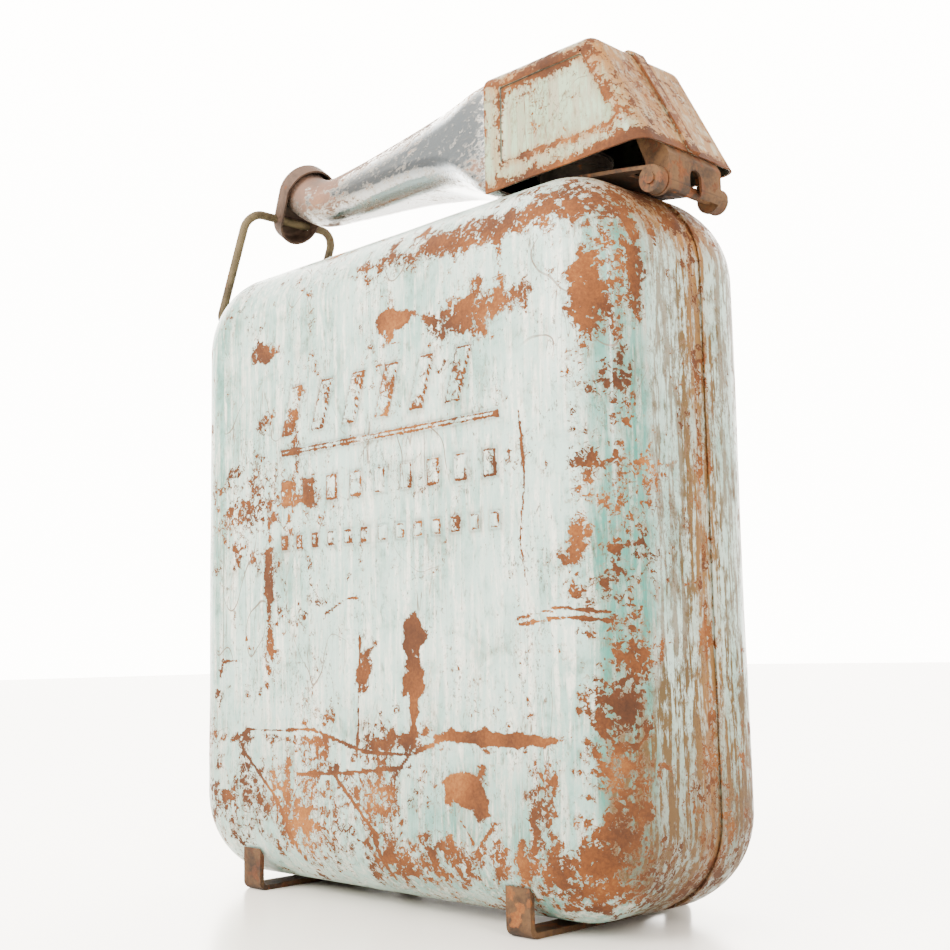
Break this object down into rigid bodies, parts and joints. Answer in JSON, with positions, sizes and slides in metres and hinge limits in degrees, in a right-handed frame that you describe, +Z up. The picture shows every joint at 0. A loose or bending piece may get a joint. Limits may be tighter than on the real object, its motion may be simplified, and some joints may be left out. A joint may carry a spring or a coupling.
{
  "type": "petrol can",
  "caption": "Flat pressed-steel one gallon petrol can with a hinged hood and tapering spout, a sprung stopper and a wire bail with an oval cap.",
  "frame": {"origin": "on the ground, below the middle of the can", "axes": "+X towards the spout hinge along the can's width, +Y away from the decorated front, +Z up"},
  "size_m": [0.2518, 0.0933, 0.3143],
  "materials": {
    "body_paint": "worn satin paint with rust",
    "hood_paint": "worn satin paint with rust",
    "worn_chrome": "worn bright plating",
    "tinned_steel": "dull tinned",
    "rusty_steel": "rusty, matt",
    "spring_steel": "dull",
    "bail_steel": "browned wire",
    "cap_steel": "dark browned sheet",
    "washer_leather": "oiled leather"
  },
  "bodies": {
    "can": {"front_shell": "body_paint", "rear_shell": "body_paint", "filler_neck": "tinned_steel", "left_foot": "rusty_steel", "right_foot": "rusty_steel", "hinge_leaf": "rusty_steel", "hinge_pin": "rusty_steel", "bail_bracket": "body_paint"},
    "spout": {"hood_front_half": "hood_paint", "hood_rear_half": "hood_paint", "spout_tube": "worn_chrome", "hinge_channel": "rusty_steel", "stopper_guide": "tinned_steel"},
    "stopper": {"stopper_washer": "washer_leather", "stopper_plate": "tinned_steel", "stem_clip": "spring_steel", "stopper_stem": "spring_steel", "stopper_spring": "spring_steel"},
    "bail": {"bail_wire": "bail_steel"},
    "cap": {"cap_cup": "cap_steel", "cap_washer": "washer_leather"}
  },
  "joints": [
    {"name": "spout_swing", "type": "hinge", "parent": "can", "child": "spout", "pos_m": [0.119, 0, 0.249], "axis": [0, 1, 0], "range_deg": [0, 160]},
    {"name": "stopper_lift", "type": "slide", "parent": "spout", "child": "stopper", "axis": [0, 0, 1], "range_m": [0, 0.003], "stiffness_N_per_m": 400, "springref_m": -0.006, "deforming": ["stopper_spring"]},
    {"name": "bail_swing", "type": "hinge", "parent": "can", "child": "bail", "pos_m": [-0.124, 0, 0.244], "axis": [0, -1, 0], "range_deg": [0, 150]},
    {"name": "cap_tilt", "type": "hinge", "parent": "bail", "child": "cap", "pos_m": [-0.1024, 0, 0.29097], "axis": [0, -1, 0], "range_deg": [0, 60]}
  ]
}
